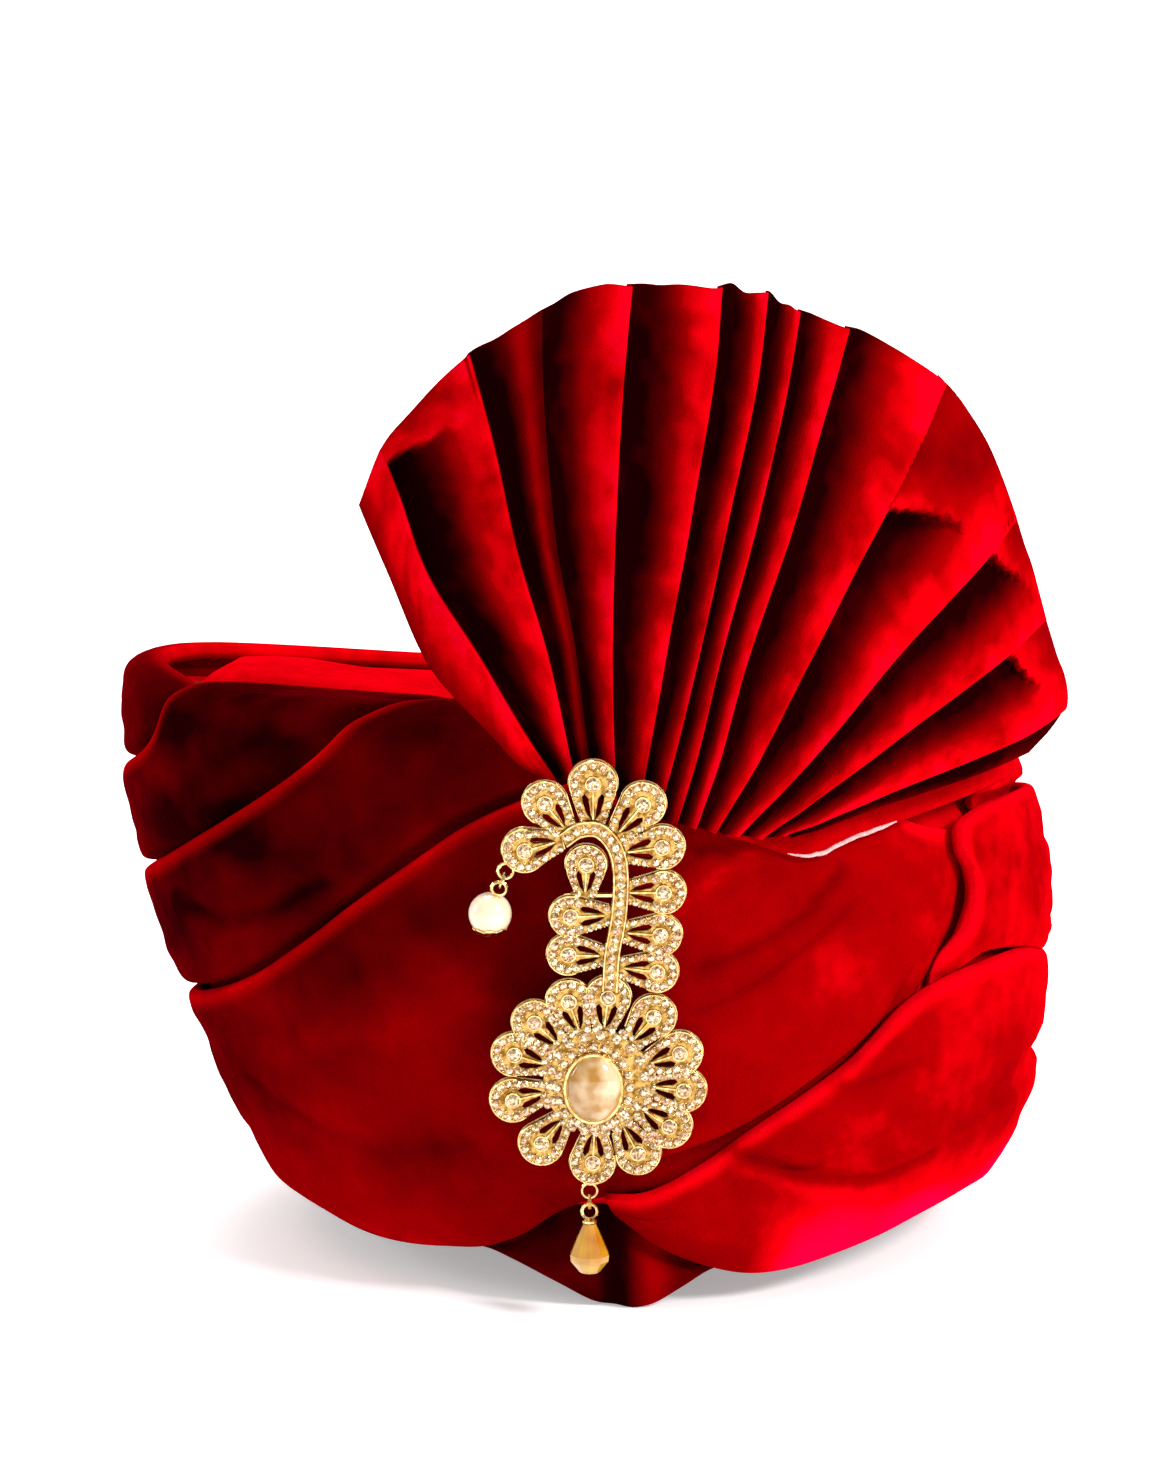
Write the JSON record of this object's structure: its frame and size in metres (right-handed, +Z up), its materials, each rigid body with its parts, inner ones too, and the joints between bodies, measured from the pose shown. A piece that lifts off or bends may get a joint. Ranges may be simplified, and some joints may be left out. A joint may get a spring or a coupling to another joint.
{
  "type": "tied turban pagri",
  "caption": "Ready-tied red velvet pagri with an upright pleated fan and a gold sarpech brooch set with pale stones, a pearl drop and an amber crystal drop.",
  "frame": {"origin": "on the surface that the turban stands on, below the middle of its bounding box", "axes": "+Z up, the front with the brooch and the fan faces -Y, +X is the viewer's right"},
  "size_m": [0.2599, 0.2486, 0.272],
  "materials": {
    "velvet": "matt",
    "gold": "polished",
    "champagne_stone": "polished",
    "pearl": "gloss",
    "amber_crystal": "polished"
  },
  "bodies": {
    "root": {"crown": "velvet", "brow_band": "velvet", "rim_wrap": "velvet", "upper_wrap": "velvet", "middle_wrap": "velvet", "front_wrap": "velvet", "lower_wrap": "velvet", "fan": "velvet", "fan_tail": "velvet", "sarpech": "gold", "brooch_pin": "gold", "pearl_ring": "gold", "pearl_pin": "gold", "crystal_ring": "gold", "crystal_cap": "gold", "centre_stone": "champagne_stone", "pearl": "pearl", "crystal": "amber_crystal"}
  },
  "joints": []
}
